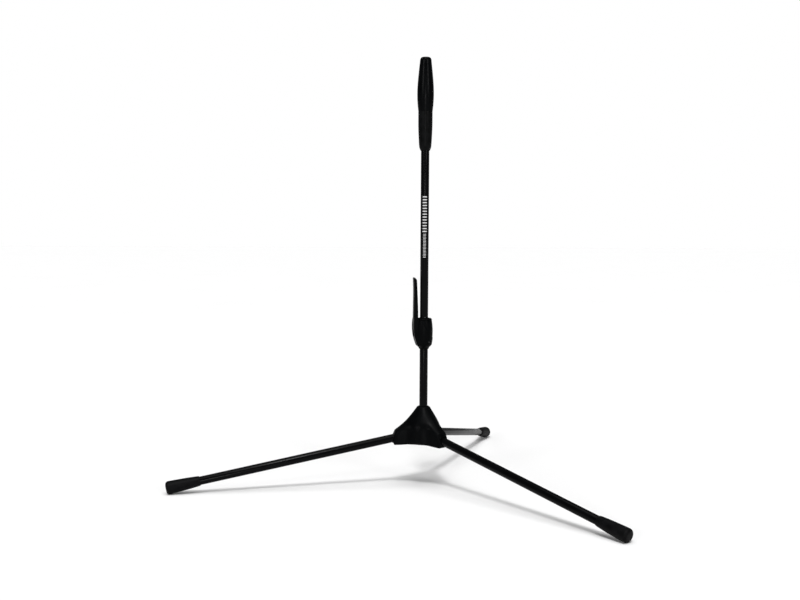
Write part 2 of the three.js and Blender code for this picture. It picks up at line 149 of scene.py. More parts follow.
def turned(name, outline, place, sides=FINE, closed=False):
    """A turned piece about its own Z axis, from (radius, height) points in order.
    An outline that is not closed starts and ends on the axis."""
    vertices, rings = [], []
    for radius, height in outline:
        if radius < 1e-6:
            rings.append([len(vertices)])
            vertices.append((0, 0, height))
            continue
        rings.append([len(vertices) + k for k in range(sides)])
        for k in range(sides):
            angle = 2 * math.pi * k / sides
            vertices.append((radius * math.cos(angle), radius * math.sin(angle), height))
    faces = []
    following = rings[1:] + rings[:1] if closed else rings[1:]
    for lower, upper in zip(rings, following):
        for k in range(sides):
            n = (k + 1) % sides
            corners = [
                lower[k % len(lower)], lower[n % len(lower)],
                upper[n % len(upper)], upper[k % len(upper)],
            ]
            faces.append(list(dict.fromkeys(corners)))
    return new_object(name, vertices, [f for f in faces if len(f) > 2], place)


def tube(name, bore, radius, bottom, top, place, edge=0.35, sides=FINE):
    """A tube with rounded ends."""
    corners = [(bore, bottom, edge), (radius, bottom, edge), (radius, top, edge), (bore, top, edge)]
    middle = (bore, (bottom + top) / 2)
    outline = rounded([middle, *corners, middle], 4)[:-1]
    return turned(name, outline, place, sides, closed=True)


def plate(name, outline, low, high, place):
    """A flat plate between y = low and y = high, from an outline of (x, z) points."""
    count = len(outline)
    vertices = [(x, low, z) for x, z in outline] + [(x, high, z) for x, z in outline]
    faces = [list(range(count)), list(range(count, 2 * count))]
    faces += [[k, (k + 1) % count, count + (k + 1) % count, count + k] for k in range(count)]
    return new_object(name, vertices, faces, place)


def block(name, low, high, place):
    """A box between two opposite corners."""
    (x0, y0, z0), (x1, y1, z1) = low, high
    return plate(name, [(x0, z0), (x1, z0), (x1, z1), (x0, z1)], y0, y1, place)


def cylinder(name, radius, bottom, top, place, sides=64):
    """A rod about its own Z axis."""
    return turned(name, [(0, bottom), (radius, bottom), (radius, top), (0, top)], place, sides)


def applied(obj):
    """The object's mesh with its modifiers in it."""
    graph = bpy.context.evaluated_depsgraph_get()
    mesh = bpy.data.meshes.new_from_object(obj.evaluated_get(graph))
    obj.modifiers.clear()
    obj.data = mesh
    return obj


def combine(obj, others, operation="DIFFERENCE"):
    """Cuts the others from obj, or joins them to it, and deletes them."""
    for other in others:
        modifier = obj.modifiers.new("join", "BOOLEAN")
        modifier.operation = operation
        modifier.solver = "MANIFOLD"
        modifier.object = other
        applied(obj)
        bpy.data.objects.remove(other)
    return obj


def moulded(obj, grid, passes=6, keep=1.0):
    """Turns a sharp solid into a moulded one with softly rounded edges.
    grid is the size of its new faces, passes the smoothing and keep the share of faces that stays."""
    remesh = obj.modifiers.new("skin", "REMESH")
    remesh.mode = "VOXEL"
    remesh.voxel_size = grid * MM
    remesh.use_smooth_shade = True
    smooth = obj.modifiers.new("soften", "SMOOTH")
    smooth.factor = 0.5
    smooth.iterations = passes
    if keep < 1:
        obj.modifiers.new("thin", "DECIMATE").ratio = keep
    applied(obj)
    obj.data.shade_smooth()
    return obj


def bevelled(obj, width, segments=3, angle=35):
    """Rounds the edges that turn by more than angle degrees."""
    bevel = obj.modifiers.new("edge", "BEVEL")
    bevel.width = width * MM
    bevel.segments = segments
    bevel.limit_method = "ANGLE"
    bevel.angle_limit = math.radians(angle)
    bevel.harden_normals = True
    obj.data.shade_smooth()
    return applied(obj)


def finish_piece(obj, material, body, slot, *nodes):
    """Gives a piece its material and its body, and hides the CAD nodes that it stands for. slot is not used.
    """
    obj.data.materials.clear()
    obj.data.materials.append(material)
    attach(obj, body)
    if nodes:
        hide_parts(*nodes)
    return obj


# ------------------------------------------------------------------ materials
def node_material(name, color, roughness, specular, metallic=0.0):
    """A Principled material with its constant values set on the shader's own sockets."""
    material = bpy.data.materials.new(name)
    material.use_nodes = True
    shader = material.node_tree.nodes["Principled BSDF"]
    shader.inputs["Base Color"].default_value = (*color, 1)
    shader.inputs["Roughness"].default_value = roughness
    shader.inputs["Specular IOR Level"].default_value = specular
    shader.inputs["Metallic"].default_value = metallic
    return material, material.node_tree, shader


def add_node(tree, kind, inputs=None, **settings):
    """A new shader node. An input is a value, or another node's output to link to it."""
    node = tree.nodes.new(kind)
    for key, value in settings.items():
        setattr(node, key, value)
    for key, value in (inputs or {}).items():
        if isinstance(value, bpy.types.NodeSocket):
            tree.links.new(value, node.inputs[key])
        else:
            node.inputs[key].default_value = value
    return node


def object_noise(tree, scale, detail=3.0, stretch=(1, 1, 1), roughness=0.5):
    """Noise fixed to the object's own space. scale is in cells per metre."""
    place = add_node(tree, "ShaderNodeTexCoord")
    mapping = add_node(tree, "ShaderNodeMapping", {"Vector": place.outputs["Object"], "Scale": stretch})
    return add_node(tree, "ShaderNodeTexNoise", {
        "Vector": mapping.outputs["Vector"], "Scale": scale, "Detail": detail, "Roughness": roughness,
    }).outputs["Fac"]


def ramp(tree, value, low, high, out_low, out_high):
    """Maps a value from the range low to high onto another range."""
    return add_node(tree, "ShaderNodeMapRange", {
        "Value": value, "From Min": low, "From Max": high, "To Min": out_low, "To Max": out_high,
    }).outputs["Result"]


def tinted(tree, factor, dark, light):
    """A colour between dark and light, by a factor from 0 to 1."""
    blend = add_node(tree, "ShaderNodeValToRGB", {"Fac": factor})
    blend.color_ramp.elements[0].color = (*dark, 1)
    blend.color_ramp.elements[1].color = (*light, 1)
    return blend.outputs["Color"]


def bump(tree, shader, heights):
    """Adds bumps to a shader, each as (height, strength, distance in millimetres)."""
    normal = None
    for height, strength, distance in heights:
        inputs = {"Height": height, "Strength": strength, "Distance": distance * MM}
        if normal:
            inputs["Normal"] = normal
        normal = add_node(tree, "ShaderNodeBump", inputs).outputs["Normal"]
    tree.links.new(normal, shader.inputs["Normal"])


def varied(material_parts, dark, light, rough_low, rough_high, patch=60):
    """Slow changes of tone and roughness over a surface, as on any handled piece."""
    _, tree, shader = material_parts
    patches = object_noise(tree, patch, 4)
    tone = tinted(tree, ramp(tree, patches, 0.35, 0.7, 0, 1), dark, light)
    gloss = ramp(tree, patches, 0.3, 0.7, rough_low, rough_high)
    tree.links.new(tone, shader.inputs["Base Color"])
    tree.links.new(gloss, shader.inputs["Roughness"])


def powder_coat():
    """Satin black powder coat on steel tube: faint orange peel and slow changes of gloss."""
    parts = node_material("tube_powder_coat", (0.0012, 0.0013, 0.0015), 0.18, 0.055)
    material, tree, shader = parts
    varied(parts, (0.0008, 0.0008, 0.001), (0.0016, 0.0017, 0.002), 0.17, 0.24, 45)
    peel = object_noise(tree, 620, 2)
    bump(tree, shader, [(peel, 0.08, 0.025)])
    return material


def moulded_plastic(name, tone, gloss, specular, grain=1400, depth=0.04):
    """Black moulded plastic with a spark-eroded grain. gloss is its lowest roughness."""
    dark = tuple(0.8 * c for c in tone)
    light = tuple(1.35 * c for c in tone)
    parts = node_material(name, tone, gloss, specular)
    material, tree, shader = parts
    varied(parts, dark, light, gloss, gloss + 0.12, 90)
    cells = add_node(tree, "ShaderNodeTexVoronoi", {
        "Vector": add_node(tree, "ShaderNodeTexCoord").outputs["Object"], "Scale": grain,
    }, feature="SMOOTH_F1").outputs["Distance"]
    bump(tree, shader, [(cells, 0.15, depth), (object_noise(tree, grain * 2, 2), 0.1, depth / 2)])
    return material


def black_rubber(name, tone, roughness):
    """Matt rubber with a fine skin and a little dust in its pores."""
    dusty = tuple(2.4 * c for c in tone)
    parts = node_material(name, tone, roughness, 0.045)
    material, tree, shader = parts
    varied(parts, tone, dusty, roughness - 0.06, roughness + 0.1, 110)
    bump(tree, shader, [(object_noise(tree, 900, 3), 0.15, 0.04), (object_noise(tree, 3200, 2), 0.1, 0.02)])
    return material


def plated_steel(name, color, roughness, stretch=(1, 1, 1)):
    """Plated steel with fine drawn or turned marks."""
    parts = node_material(name, color, roughness, 0.5, 1.0)
    material, tree, shader = parts
    marks = object_noise(tree, 500, 4, stretch)
    gloss = ramp(tree, marks, 0.3, 0.7, roughness - 0.07, roughness + 0.1)
    tree.links.new(gloss, shader.inputs["Roughness"])
    dark = tuple(0.82 * c for c in color)
    tone = tinted(tree, ramp(tree, marks, 0.35, 0.65, 0, 1), dark, color)
    tree.links.new(tone, shader.inputs["Base Color"])
    bump(tree, shader, [(marks, 0.15, 0.02)])
    return material


def pale_nylon():
    """Undyed nylon, which lets a little light in."""
    parts = node_material("natural_nylon", (0.72, 0.69, 0.6), 0.45, 0.45)
    material, tree, shader = parts
    varied(parts, (0.66, 0.62, 0.53), (0.76, 0.73, 0.65), 0.4, 0.52, 120)
    shader.inputs["Subsurface Weight"].default_value = 0.15
    shader.inputs["Subsurface Scale"].default_value = 0.6 * MM
    bump(tree, shader, [(object_noise(tree, 1500, 2), 0.3, 0.03)])
    return material


def print_ink():
    """White screen-printed ink, thin and a little uneven."""
    parts = node_material("print_ink", (0.55, 0.55, 0.55), 0.5, 0.4)
    material, tree, shader = parts
    varied(parts, (0.42, 0.42, 0.42), (0.62, 0.62, 0.62), 0.42, 0.6, 900)
    bump(tree, shader, [(object_noise(tree, 2400, 2), 0.3, 0.01)])
    return material


COOL_BLACK = (0.0008, 0.001, 0.0012)  # black that leans towards blue
COAT = powder_coat()
HUB_PLASTIC = moulded_plastic("hub_nylon", COOL_BLACK, gloss=0.32, specular=0.03)
CLUTCH_PLASTIC = moulded_plastic("clutch_nylon", COOL_BLACK, 0.32, 0.03, grain=1700, depth=0.03)
LEVER_PLASTIC = moulded_plastic("lever_acetal", COOL_BLACK, 0.3, 0.03, grain=1900, depth=0.025)
PEG_PLASTIC = moulded_plastic("peg_cone_plastic", COOL_BLACK, 0.24, 0.04, grain=1900, depth=0.02)
PEG_RUBBER = black_rubber("peg_grip_rubber", (0.0013, 0.0014, 0.0015), 0.38)
FOOT_RUBBER = black_rubber("foot_rubber", (0.0016, 0.0016, 0.0018), 0.5)
BRAKE_RUBBER = black_rubber("brake_rubber", (0.02, 0.02, 0.02), 0.8)
ZINC = plated_steel("bright_zinc", (0.56, 0.57, 0.6), 0.3)
BLACK_ZINC = plated_steel("black_zinc", (0.03, 0.03, 0.032), 0.35)
SLIDE_STEEL = plated_steel("slide_tube_nickel", (0.5, 0.51, 0.53), 0.26, (1, 1, 0.04))
NYLON = pale_nylon()
INK = print_ink()


# ------------------------------------------------------------------ driving sizes
GAP = 0.3  # clearance between pieces that touch
TUBE_R = 6.35  # outside radius of the mast tubes and leg tubes
TUBE_BORE_R = 5.35  # inside radius of those tubes
SLIDE_R = 5.0  # outside radius of the thinner tube that slides in the lower mast tube
SLIDE_BORE_R = 4.0
PIN_R = 1.5  # small pins and rivets
STAND_HEIGHT = 658  # floor to the tip of the peg
LOWER_TUBE_TOP = 230
UPPER_TUBE_END = 262  # lower end of the upper tube, with the mast right down
UPPER_TUBE_TOP = 561
SLIDE_TUBE_END = 95
SLIDE_TUBE_TOP = 330
ARM_AZIMUTH = {"left": math.pi, "right": -math.pi / 3, "rear": math.pi / 3}


# ------------------------------------------------------------------ hub
HUB_TOP = 122.9
HUB_BOTTOM = 64.0  # lower edge of the arms
HUB_ARCH = 4.1  # rise of the skirt's lower edge between two arms
HUB_EDGE = 2  # height over which the hub's rims round off
RIM_ROUNDING = 1.2  # how far the rims round in at their very edge
COLLAR_R = 9  # hub's radius at the top
ARM_REACH = 48.9  # mast axis to the end of an arm
ARM_HALF_WIDTH = 11.6
ARM_TOP_Z, ARM_TOP_REACH = 86, 44.1  # corner where an arm's shoulder meets its end
ARM_END_Z = 70  # where the end of an arm stands upright
WAIST_Z, WAIST_HALF_WIDTH, WAIST_HEIGHT = 100, 12.9, 31.5  # widest part of the arms' shoulders
SKIRT_R = 29.2  # radius between two arms, at the lower edge
SKIRT_BLEND = 16  # exponent that blends flank and skirt
WEB_BLEND = 6  # exponent that blends arm and skirt: more is a tighter inner corner
SQUARENESS_TOP, SQUARENESS_SPAN = 105, 19  # where the arms' ends start to square up, and over what height

WALL = 3.2  # thickness of the hub's shell
POCKET_TOP = 90  # top of the hollows between the arms
POST_R = 10.8  # post in the hub's middle, which holds the mast
CHEEK = 3.8  # wall on each side of a leg
CHANNEL_HALF = TUBE_R + 0.35  # half the width of the channel that a leg folds in
CHANNEL_FAR = 70  # a reach beyond the end of every arm
BELOW = -60  # a depth below the lower edge of the hub
SOCKET_FLOOR = 78  # where the mast tube stands in the hub
SCREW_HOLE_R, SCREW_HEAD_R, SCREW_HEAD_DEPTH = 3.4, 8, 5  # for the screw up into the mast
EYE_R = 2.8  # the hinge's hole, in the hub and in the knuckle
PIN_HOLE_REACH = 10.6  # half the length of the hinge's hole in the hub

PIVOT_REACH = 20  # mast axis to each leg's hinge pin
PIVOT_Z = JOINTS["left_leg_fold"]["pos_m"][2] / MM
KNUCKLE_END = 8.7  # hinge pin to the knuckle's shoulder, where the leg tube begins


def arm_reach(height):
    """A hollow curve down from the collar to the arm's top corner, then a rounded end."""
    if height > ARM_TOP_Z:
        down = (HUB_TOP - height) / (HUB_TOP - ARM_TOP_Z)
        return COLLAR_R + (ARM_TOP_REACH - COLLAR_R) * (down + down**2) / 2
    up = max(0, height - ARM_END_Z) / (ARM_TOP_Z - ARM_END_Z)
    return ARM_REACH - (ARM_REACH - ARM_TOP_REACH) * up**2


def arm_half_width(height):
    """Upright sides, and above them a shoulder that swells and then narrows to the collar."""
    if height <= ARM_TOP_Z:
        return ARM_HALF_WIDTH
    return WAIST_HALF_WIDTH * math.sqrt(1 - ((height - WAIST_Z) / WAIST_HEIGHT) ** 2)


def web_radius(height):
    """The radius half-way between two arms: a steep flank that runs softly into a nearly upright skirt."""
    flank = COLLAR_R + 0.2 + 0.6 * (HUB_TOP - height)
    skirt = SKIRT_R - 0.1 * (height - HUB_BOTTOM)
    return (flank**-SKIRT_BLEND + skirt**-SKIRT_BLEND) ** (-1 / SKIRT_BLEND)


def arm_squareness(height):
    """Squareness of an arm's end, where 2 is an ellipse and more is squarer."""
    down = min(max((SQUARENESS_TOP - height) / SQUARENESS_SPAN, 0), 1)
    return 2 + 2.5 * down**2


def hub_radius(height, from_arm):
    """The hub's radius in a direction measured from the nearest arm."""
    squareness = arm_squareness(height)

    def arm_radius(angle):
        along = abs(math.cos(angle)) / arm_reach(height)
        across = abs(math.sin(angle)) / arm_half_width(height)
        return (along**squareness + across**squareness) ** (-1 / squareness)

    skirt = web_radius(height) ** WEB_BLEND - arm_radius(math.pi / 3) ** WEB_BLEND
    return (arm_radius(from_arm) ** WEB_BLEND + skirt) ** (1 / WEB_BLEND)


def rim_inset(height, edge):
    """How far the hub's rims round in."""
    upper = max(0, height - (HUB_TOP - HUB_EDGE)) / HUB_EDGE
    lower = max(0, edge + HUB_EDGE - height) / HUB_EDGE
    return RIM_ROUNDING * (upper**2 + lower**2)


def lofted(name, rings, place):
    """A closed shape through rings of points that all have the same number of points."""
    sides = len(rings[0])
    vertices = [p for points in rings for p in points]
    faces = [list(range(sides)), list(range(len(vertices) - sides, len(vertices)))]
    for low in range(0, len(vertices) - sides, sides):
        for k in range(sides):
            n = (k + 1) % sides
            faces.append([low + k, low + n, low + sides + n, low + sides + k])
    return new_object(name, vertices, faces, place)


def hub_shape(name, inset, top, levels=80, sides=192):
    """The hub's outer shape, or the same shape set in by a wall's thickness."""
    rings = []
    for level in range(levels + 1):
        points = []
        for k in range(sides):
            angle = 2 * math.pi * k / sides
            from_arm = abs(angle % (2 * math.pi / 3) - math.pi / 3)
            edge = HUB_BOTTOM + HUB_ARCH * math.sin(1.5 * from_arm) ** 2
            height = edge + (top - edge) * (1 - math.cos(math.pi * level / levels)) / 2
            radius = hub_radius(height, from_arm) - rim_inset(height, edge) - inset
            drop = inset if level == 0 else 0
            points.append((radius * math.cos(angle), radius * math.sin(angle), height - drop))
        rings.append(points)
    return lofted(name, rings, MAST)


def leg_channel(side):
    """The room that a leg needs in its arm: round over the open leg, and open below."""
    half, inner, far = CHANNEL_HALF, -(TUBE_R + GAP), CHANNEL_FAR
    leg = LEGS[side]
    arm = MAST @ Matrix.Rotation(ARM_AZIMUTH[side], 4, "Z")
    return [
        cylinder("cut", half, inner, far, leg @ ALONG_X),
        block("cut", (inner, -half, BELOW), (far, half, 0), leg),
        block("cut", (inner, -half, -1), (KNUCKLE_END, half, half), leg),
        block("cut", (PIVOT_REACH + inner, -half, 0), (far, half, PIVOT_Z), arm),
        cylinder("cut", EYE_R, -PIN_HOLE_REACH, PIN_HOLE_REACH, leg @ ALONG_Y, 24),
    ]


def hub():
    """A shell with a post for the mast, two cheeks in each arm and a channel for each leg."""
    pockets = hub_shape("pockets", WALL, POCKET_TOP)
    walls = [cylinder("cut", POST_R, 0, HUB_TOP, MAST)]
    cheeks = CHANNEL_HALF + CHEEK
    for azimuth in ARM_AZIMUTH.values():
        arm = MAST @ Matrix.Rotation(azimuth, 4, "Z")
        walls.append(block("cut", (0, -cheeks, 0), (60, cheeks, 130), arm))
    combine(pockets, walls)
    body = hub_shape("hub_shell", 0, HUB_TOP)
    cuts = [pockets]
    for side in SIDES:
        cuts += leg_channel(side)
    cuts.append(cylinder("cut", TUBE_R + GAP, SOCKET_FLOOR, HUB_TOP + 5, MAST))
    cuts.append(cylinder("cut", SCREW_HOLE_R, 50, SOCKET_FLOOR + 1, MAST))
    cuts.append(cylinder("cut", SCREW_HEAD_R, 50, SOCKET_FLOOR - SCREW_HEAD_DEPTH, MAST))
    combine(body, cuts)
    moulded(body, 0.45, 8, 0.5)
    return finish_piece(body, HUB_PLASTIC, "base", "hub_plastic", "hub_body")


# ------------------------------------------------------------------ mast
RIVET_Z = 300  # rivet through the upper tube and the sliding tube


def rivet_head(name, radius, height, place, material, body, slot, *nodes):
    """A low domed head on a short shank. place has its Z axis pointing out of the surface."""
    quarter = [math.pi / 2 * k / 8 for k in range(8)]
    dome = [(radius * math.cos(a), height * math.sin(a)) for a in quarter]
    outline = [(0, -2), (PIN_R, -2), (PIN_R, -0.05), (radius, -0.05), *dome, (0, height)]
    return finish_piece(turned(name, outline, place, SMALL), material, body, slot, *nodes)


def mast():
    """The lower tube, the upper tube, the tube that slides between them, and its rivet."""
    lower = tube("lower_mast", TUBE_BORE_R, TUBE_R, SOCKET_FLOOR + GAP, LOWER_TUBE_TOP, MAST)
    finish_piece(lower, COAT, "base", "tube_coat", "lower_tube")
    upper = tube("upper_mast_tube", TUBE_BORE_R, TUBE_R, UPPER_TUBE_END - GAP, UPPER_TUBE_TOP, MAST)
    finish_piece(upper, COAT, "upper_mast", "tube_coat", "upper_tube")
    slide = tube("slide_mast_tube", SLIDE_BORE_R, SLIDE_R, SLIDE_TUBE_END, SLIDE_TUBE_TOP, MAST, 0.25)
    finish_piece(slide, SLIDE_STEEL, "upper_mast", "slide_tube_steel", "slide_tube")
    rear = MAST @ Matrix.Translation((0, TUBE_R * MM, RIVET_Z * MM)) @ ALONG_Y
    rivet_head("mast_rivet", 2.4, 0.7, rear, COAT, "upper_mast", "tube_coat", "joint_rivet")


# ------------------------------------------------------------------ print on the upper tube
PRINT_AZIMUTH = math.radians(258.1)
INK_INSIDE_R, INK_OUTSIDE_R = TUBE_R + 0.01, TUBE_R + 0.06


def row_of_marks(first, spacing, count, thick, width):
    """Marks as (height of its middle, thickness, width), from the lowest up."""
    return [(first + spacing * k, thick, width) for k in range(count)]


def print_marks():
    """Plain graduation marks: bold ones above fine ones, each a thin raised film of ink."""
    marks = row_of_marks(393.5, spacing=4.4, count=13, thick=1.7, width=6.6)
    marks += row_of_marks(354, spacing=2.2, count=17, thick=0.8, width=4.4)
    columns = 12
    vertices, faces = [], []
    for height, thick, width in marks:
        half = width / 2 / TUBE_R
        start = len(vertices)
        for radius in (INK_INSIDE_R, INK_OUTSIDE_R):
            for z in (height - thick / 2, height + thick / 2):
                for k in range(columns + 1):
                    angle = PRINT_AZIMUTH - half + 2 * half * k / columns
                    vertices.append((radius * math.cos(angle), radius * math.sin(angle), z))
        row = columns + 1
        inside_low, inside_high, outside_low, outside_high = (start + line * row for line in range(4))
        for k in range(columns):
            n = k + 1
            faces.append([outside_low + k, outside_low + n, outside_high + n, outside_high + k])
            faces.append([inside_low + k, inside_high + k, inside_high + n, inside_low + n])
            faces.append([inside_low + k, inside_low + n, outside_low + n, outside_low + k])
            faces.append([inside_high + k, inside_high + n, outside_high + n, outside_high + k])
        for k in (0, columns):
            faces.append([inside_low + k, inside_high + k, outside_high + k, outside_low + k])
    obj = new_object("print_marks", vertices, faces, MAST)
    return finish_piece(obj, INK, "upper_mast", "tube_coat")


# ------------------------------------------------------------------ clutch and lever
CLUTCH_TOP = 260
CLUTCH_BOTTOM = 212.3
BARREL_TOP = 256.8  # where the clutch body ends and its cap begins
BARREL_FOOT = 221  # where the barrel ends and its foot curves in
BELLY_R, BELLY_Z, BELLY_CURVE = 14.25, 239, 105  # the barrel's widest place, and the arc that bulges it
PANEL_LOW, PANEL_HIGH = 230.2, 257.8  # the recessed panel on the barrel
PANEL_HALF_ANGLE = math.radians(104)
PANEL_ROUNDING = 28  # height over which the panel's lower edge curves
PANEL_DEPTH = 0.55
EAR_HALF_WIDTH = 8.0
SLOT_HALF_WIDTH = 4.9  # half the slot between the ears that hold the lever
SHOE_WINDOW = 4.4  # half the height of the brake shoe's window
LINER_R = 7.2  # bore that holds the liner
SCREW_TURN = Matrix.Rotation(math.radians(-60), 4, "Z")
SCREW_PLACE = MAST @ SCREW_TURN @ Matrix.Translation((0, 0, 223.5 * MM)) @ ALONG_X
SCREW_HOLE = 2.3  # radius of the set screw's hole

LEVER_X, LEVER_Z = -12.3, 242  # the pin that the lever turns on
LEVER_PIN = MAST @ Matrix.Translation((LEVER_X * MM, 0, LEVER_Z * MM)) @ ALONG_Y
LEVER_HALF_WIDTH = 4.5
DRUM_R, DRUM_OFFSET = 3.8, 0.7  # the cam: a drum that sits off the pin's axis


def belly_radius(z):
    """The barrel's outer radius at a height."""
    return BELLY_R - (z - BELLY_Z) ** 2 / (2 * BELLY_CURVE)


def recess_panel():
    """Cuts the side away from the lever back a little, below a saddle-shaped edge."""
    levels, columns, outer = 28, 40, 16
    rings = []
    for level in range(levels + 1):
        z = PANEL_LOW + (PANEL_HIGH - PANEL_LOW) * level / levels
        half = PANEL_HALF_ANGLE * math.sqrt(1 - ((258 - z) / PANEL_ROUNDING) ** 2)
        inner = belly_radius(z) - PANEL_DEPTH
        angles = [half * (2 * k / columns - 1) for k in range(columns + 1)]
        outside = [(outer * math.cos(a), outer * math.sin(a), z) for a in angles]
        inside = [(inner * math.cos(a), inner * math.sin(a), z) for a in reversed(angles)]
        rings.append(outside + inside)
    return lofted("cut", rings, MAST)


def clutch_housing():
    """The clutch's barrel with two ears for the lever, and bores for the mast, liner, pin and screw."""
    heights = [BARREL_FOOT + (BARREL_TOP - BARREL_FOOT) * k / 20 for k in range(21)]
    belly = [(belly_radius(z), z) for z in heights]
    foot_curve = smooth_curve([(7.4, CLUTCH_BOTTOM), (8.2, 214.3), (10.9, 217.1), (12.2, 219), belly[0]], 5)
    outline = [(0, CLUTCH_BOTTOM), *foot_curve, *belly[1:], (0, BARREL_TOP)]
    body = turned("clutch_housing", outline, MAST, FINEST)
    ears = plate("ears", smooth_curve([
        (-9.5, 216.5), (-11.3, 217.6), (-14.1, 225), (-16.5, 234), (-17.4, 243), (-17.5, 251), (-16.6, 260),
        (-14.4, 262.4), (-11.6, 262.4), (-9.9, 260.4), (-9.5, 256),
    ], 4), -EAR_HALF_WIDTH, EAR_HALF_WIDTH, MAST)
    bevelled(ears, 1.4, 4, 50)
    combine(body, [ears], "UNION")
    slot = [(-30, 232), (-9, 232), (-7.2, 236.5), (-7.2, 247.5), (-9.6, 251), (-9.6, 270), (-30, 270)]
    combine(body, [
        plate("cut", slot, -SLOT_HALF_WIDTH, SLOT_HALF_WIDTH, MAST),
        block("cut", (-9, -4, LEVER_Z - SHOE_WINDOW), (0, 4, LEVER_Z + SHOE_WINDOW), MAST),
        cylinder("cut", PIN_R + GAP, -6.6, 6.6, LEVER_PIN, 32),
        cylinder("cut", TUBE_R + GAP, CLUTCH_BOTTOM - 1, LOWER_TUBE_TOP + 0.5, MAST),
        cylinder("cut", SLIDE_R + 0.4, LOWER_TUBE_TOP, BARREL_TOP + 1, MAST),
        cylinder("cut", LINER_R, 248.8, BARREL_TOP + 1, MAST),
        cylinder("cut", LINER_R + 1.2, 254.8, BARREL_TOP + 1, MAST),
        cylinder("cut", SCREW_HOLE, 5, 20, SCREW_PLACE, 32),
        recess_panel(),
    ])
    moulded(body, 0.22, 6, 0.45)
    return finish_piece(body, CLUTCH_PLASTIC, "base", "clutch_plastic", "clutch_body")


def clutch_cap():
    """The ring on top of the barrel, notched for the ears."""
    outline = rounded([
        (7.1, 258), (7.1, 257.1, 0.2), (12.6, 257.1, 0.3), (11.9, 258.9, 1.2), (10.4, CLUTCH_TOP, 0.8),
        (7.1, CLUTCH_TOP, 0.4), (7.1, 258),
    ], 4)[:-1]
    cap = turned("clutch_cap_ring", outline, MAST, FINE, closed=True)
    notch = block("cut", (-20, -EAR_HALF_WIDTH - GAP, 250), (-9.2, EAR_HALF_WIDTH + GAP, 270), MAST)
    combine(cap, [notch])
    bevelled(cap, 0.15, 2, 50)
    return finish_piece(cap, CLUTCH_PLASTIC, "base", "clutch_plastic", "clutch_cap")


def clutch_liner():
    """The flanged bush that the upper mast slides and turns in."""
    bore = SLIDE_R + GAP
    outline = rounded([
        (bore, 255), (bore, 249.2, 0.3), (6.8, 249.2, 0.3), (6.8, 255.2), (8, 255.2, 0.2), (8, 256.7, 0.3),
        (6.7, 256.7), (6.7, 261.5, 0.4), (bore, 261.5, 0.3), (bore, 255),
    ], 4)[:-1]
    liner = turned("clutch_liner_bush", outline, MAST, FINE, closed=True)
    return finish_piece(liner, CLUTCH_PLASTIC, "clutch_sleeve", "clutch_plastic", "clutch_liner")


def set_screw():
    """The headless screw that holds the clutch on the lower tube, with a hexagon socket."""
    outline = rounded([(0, 6.65), (2, 6.65, 0.2), (2, 12.4, 0.35), (0, 12.4)], 4)
    screw = turned("clutch_grub_screw", outline, SCREW_PLACE, SMALL)
    combine(screw, [cylinder("cut", 1.1, 9.6, 20, SCREW_PLACE, 6)])
    return finish_piece(screw, BLACK_ZINC, "base", "zinc_steel", "clutch_set_screw")


def cam_lever():
    """The lever's handle and, round its pin, the drum that presses the brake shoe."""
    half = LEVER_HALF_WIDTH
    drum = MAST @ Matrix.Translation(((LEVER_X + DRUM_OFFSET) * MM, 0, LEVER_Z * MM)) @ ALONG_Y
    outer = smooth_curve([(-15.9, 239.6), (-17, 250), (-16.6, 300), (-17.2, 321.6)], 8)
    tip = smooth_curve([(-16.9, 322.6), (-15.5, 322.6), (-12.6, 319.4), (-11.9, 315)], 6)
    inner = smooth_curve([(-11.9, 315), (-10.2, 277), (-9.9, 262), (-9.9, 251), (-9.6, 245), (-12, 240)], 6)
    lever = plate("cam_lever_handle", [*outer, *tip[:-1], *inner], -half, half, MAST)
    combine(lever, [cylinder("drum", DRUM_R, -half, half, drum)], "UNION")
    combine(lever, [cylinder("cut", PIN_R + GAP, -10, 10, LEVER_PIN, 32)])
    moulded(lever, 0.2, 9, 0.4)
    return finish_piece(lever, LEVER_PLASTIC, "lever", "lever_plastic", "cam_lever")


# ------------------------------------------------------------------ legs
LEG_LENGTH = 378.07  # hinge pin to the foot's end
KNUCKLE_HALF_WIDTH = 5.45
SPIGOT_END = 31  # end of the knuckle's stem in the tube, from the hinge pin
SADDLE_START, SADDLE_END = 15.5, 28.5  # along the leg, from the hinge pin
SADDLE_HALF_WIDTH = 5.9
SADDLE_DEPTH = 9.3  # leg's axis to the saddle's underside
SADDLE_RIVET = 20
FOOT_LENGTH = 50.8
FOOT_R = 10.0  # widest radius, near the floor end
FOOT_ROUNDING = 4.4  # edge radius of the floor end
FOOT_FLARE = [(7.5, 2.2), (8.6, 16), (9.75, 40)]  # (radius, distance from the foot's open end)
FOOT_WELL = FOOT_LENGTH - 8.6  # how deep the tube's hole goes


def leg_tube(side):
    place = LEGS[side] @ ALONG_X
    leg = tube(f"{side}_leg_rail", TUBE_BORE_R, TUBE_R, KNUCKLE_END + GAP, LEG_LENGTH - 9, place)
    return finish_piece(leg, COAT, f"{side}_leg", "tube_coat", f"{side}_leg_tube")


